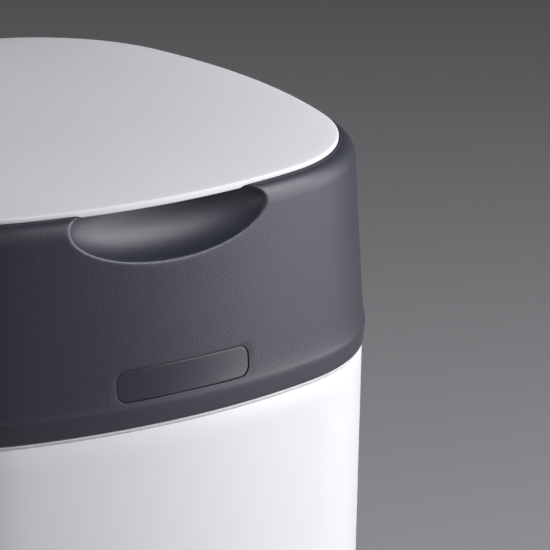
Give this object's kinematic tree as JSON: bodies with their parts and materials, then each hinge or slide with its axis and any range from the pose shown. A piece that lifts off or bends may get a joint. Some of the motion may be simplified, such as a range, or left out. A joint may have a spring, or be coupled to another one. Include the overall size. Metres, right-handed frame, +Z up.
{
  "type": "nappy bin",
  "caption": "Rounded square nappy bin with a tilting collar, a hinged lid with a finger scoop, a turning film cassette and spring flaps in its throat.",
  "frame": {"origin": "middle of the tub's underside, on the floor", "axes": "+Z up, -Y towards the finger scoop and badge panel at the front, +X to the right as seen from above with the front towards the viewer"},
  "size_m": [0.2508, 0.2604, 0.465],
  "materials": {
    "body_white": "satin moulded plastic",
    "lid_white": "satin moulded plastic",
    "collar_grey": "fine grained moulded plastic",
    "badge_grey": "smooth moulded plastic",
    "inner_grey": "moulded plastic",
    "inner_white": "moulded plastic",
    "accent_blue": "moulded plastic",
    "cassette_blue": "moulded plastic",
    "film": "thin film in pleats",
    "soft_rubber": "soft moulded rubber",
    "cutter_orange": "moulded plastic",
    "blade_steel": "ground steel",
    "pin_steel": "drawn steel"
  },
  "bodies": {
    "base": {"tub_shell": "body_white", "rim_ring": "body_white", "tilt_hinge_pin": "pin_steel"},
    "top_unit": {"collar_shell": "collar_grey", "badge_panel": "badge_grey", "cassette_tray": "inner_grey", "tray_screws": "pin_steel", "catch_hook": "inner_grey", "click_pawl": "accent_blue", "lid_hinge_pin": "pin_steel", "clamp_carrier": "inner_grey", "carrier_screws": "pin_steel", "flap_pins": "pin_steel", "flap_springs": "pin_steel", "cutter_pivot": "pin_steel"},
    "turntable": {"turntable_cup": "inner_white", "ratchet_ring": "accent_blue", "grip_ring": "accent_blue", "cassette_body": "cassette_blue", "film_pack": "film", "cassette_cap": "accent_blue"},
    "lid": {"lid_shell": "lid_white", "lid_liner": "inner_grey", "lid_seal": "soft_rubber"},
    "front_flap": {"flap_front": "inner_white", "pad_front": "soft_rubber"},
    "right_flap": {"flap_right": "inner_white", "pad_right": "soft_rubber"},
    "rear_flap": {"flap_rear": "inner_white", "pad_rear": "soft_rubber"},
    "left_flap": {"flap_left": "inner_white", "pad_left": "soft_rubber"},
    "cutter": {"cutter_arm": "cutter_orange", "cutter_blade": "blade_steel"}
  },
  "joints": [
    {"name": "top_tilt", "type": "hinge", "parent": "base", "child": "top_unit", "pos_m": [0, 0.1305, 0.38], "axis": [-1, 0, 0], "range_deg": [0, 80]},
    {"name": "lid_hinge", "type": "hinge", "parent": "top_unit", "child": "lid", "pos_m": [0, 0.1175, 0.4568], "axis": [-1, 0, 0], "range_deg": [0, 105]},
    {"name": "turntable_spin", "type": "hinge", "parent": "top_unit", "child": "turntable", "pos_m": [0, 0, 0.402], "axis": [0, 0, 1], "continuous": true},
    {"name": "front_flap_hinge", "type": "hinge", "parent": "top_unit", "child": "front_flap", "pos_m": [0, -0.048, 0.38815], "axis": [-1, 0, 0], "range_deg": [0, 75], "stiffness_Nm_per_rad": 0.02, "springref_deg": -22.92},
    {"name": "right_flap_hinge", "type": "hinge", "parent": "top_unit", "child": "right_flap", "pos_m": [0.048, 0, 0.38815], "axis": [0, -1, 0], "range_deg": [0, 75], "stiffness_Nm_per_rad": 0.02, "springref_deg": -22.92},
    {"name": "rear_flap_hinge", "type": "hinge", "parent": "top_unit", "child": "rear_flap", "pos_m": [0, 0.048, 0.38815], "axis": [1, 0, 0], "range_deg": [0, 75], "stiffness_Nm_per_rad": 0.02, "springref_deg": -22.92},
    {"name": "left_flap_hinge", "type": "hinge", "parent": "top_unit", "child": "left_flap", "pos_m": [-0.048, 0, 0.38815], "axis": [0, 1, 0], "range_deg": [0, 75], "stiffness_Nm_per_rad": 0.02, "springref_deg": -22.92},
    {"name": "cutter_swing", "type": "hinge", "parent": "top_unit", "child": "cutter", "pos_m": [-0.06202, -0.02257, 0.3961], "axis": [0, 0, 1], "range_deg": [0, 60]}
  ]
}
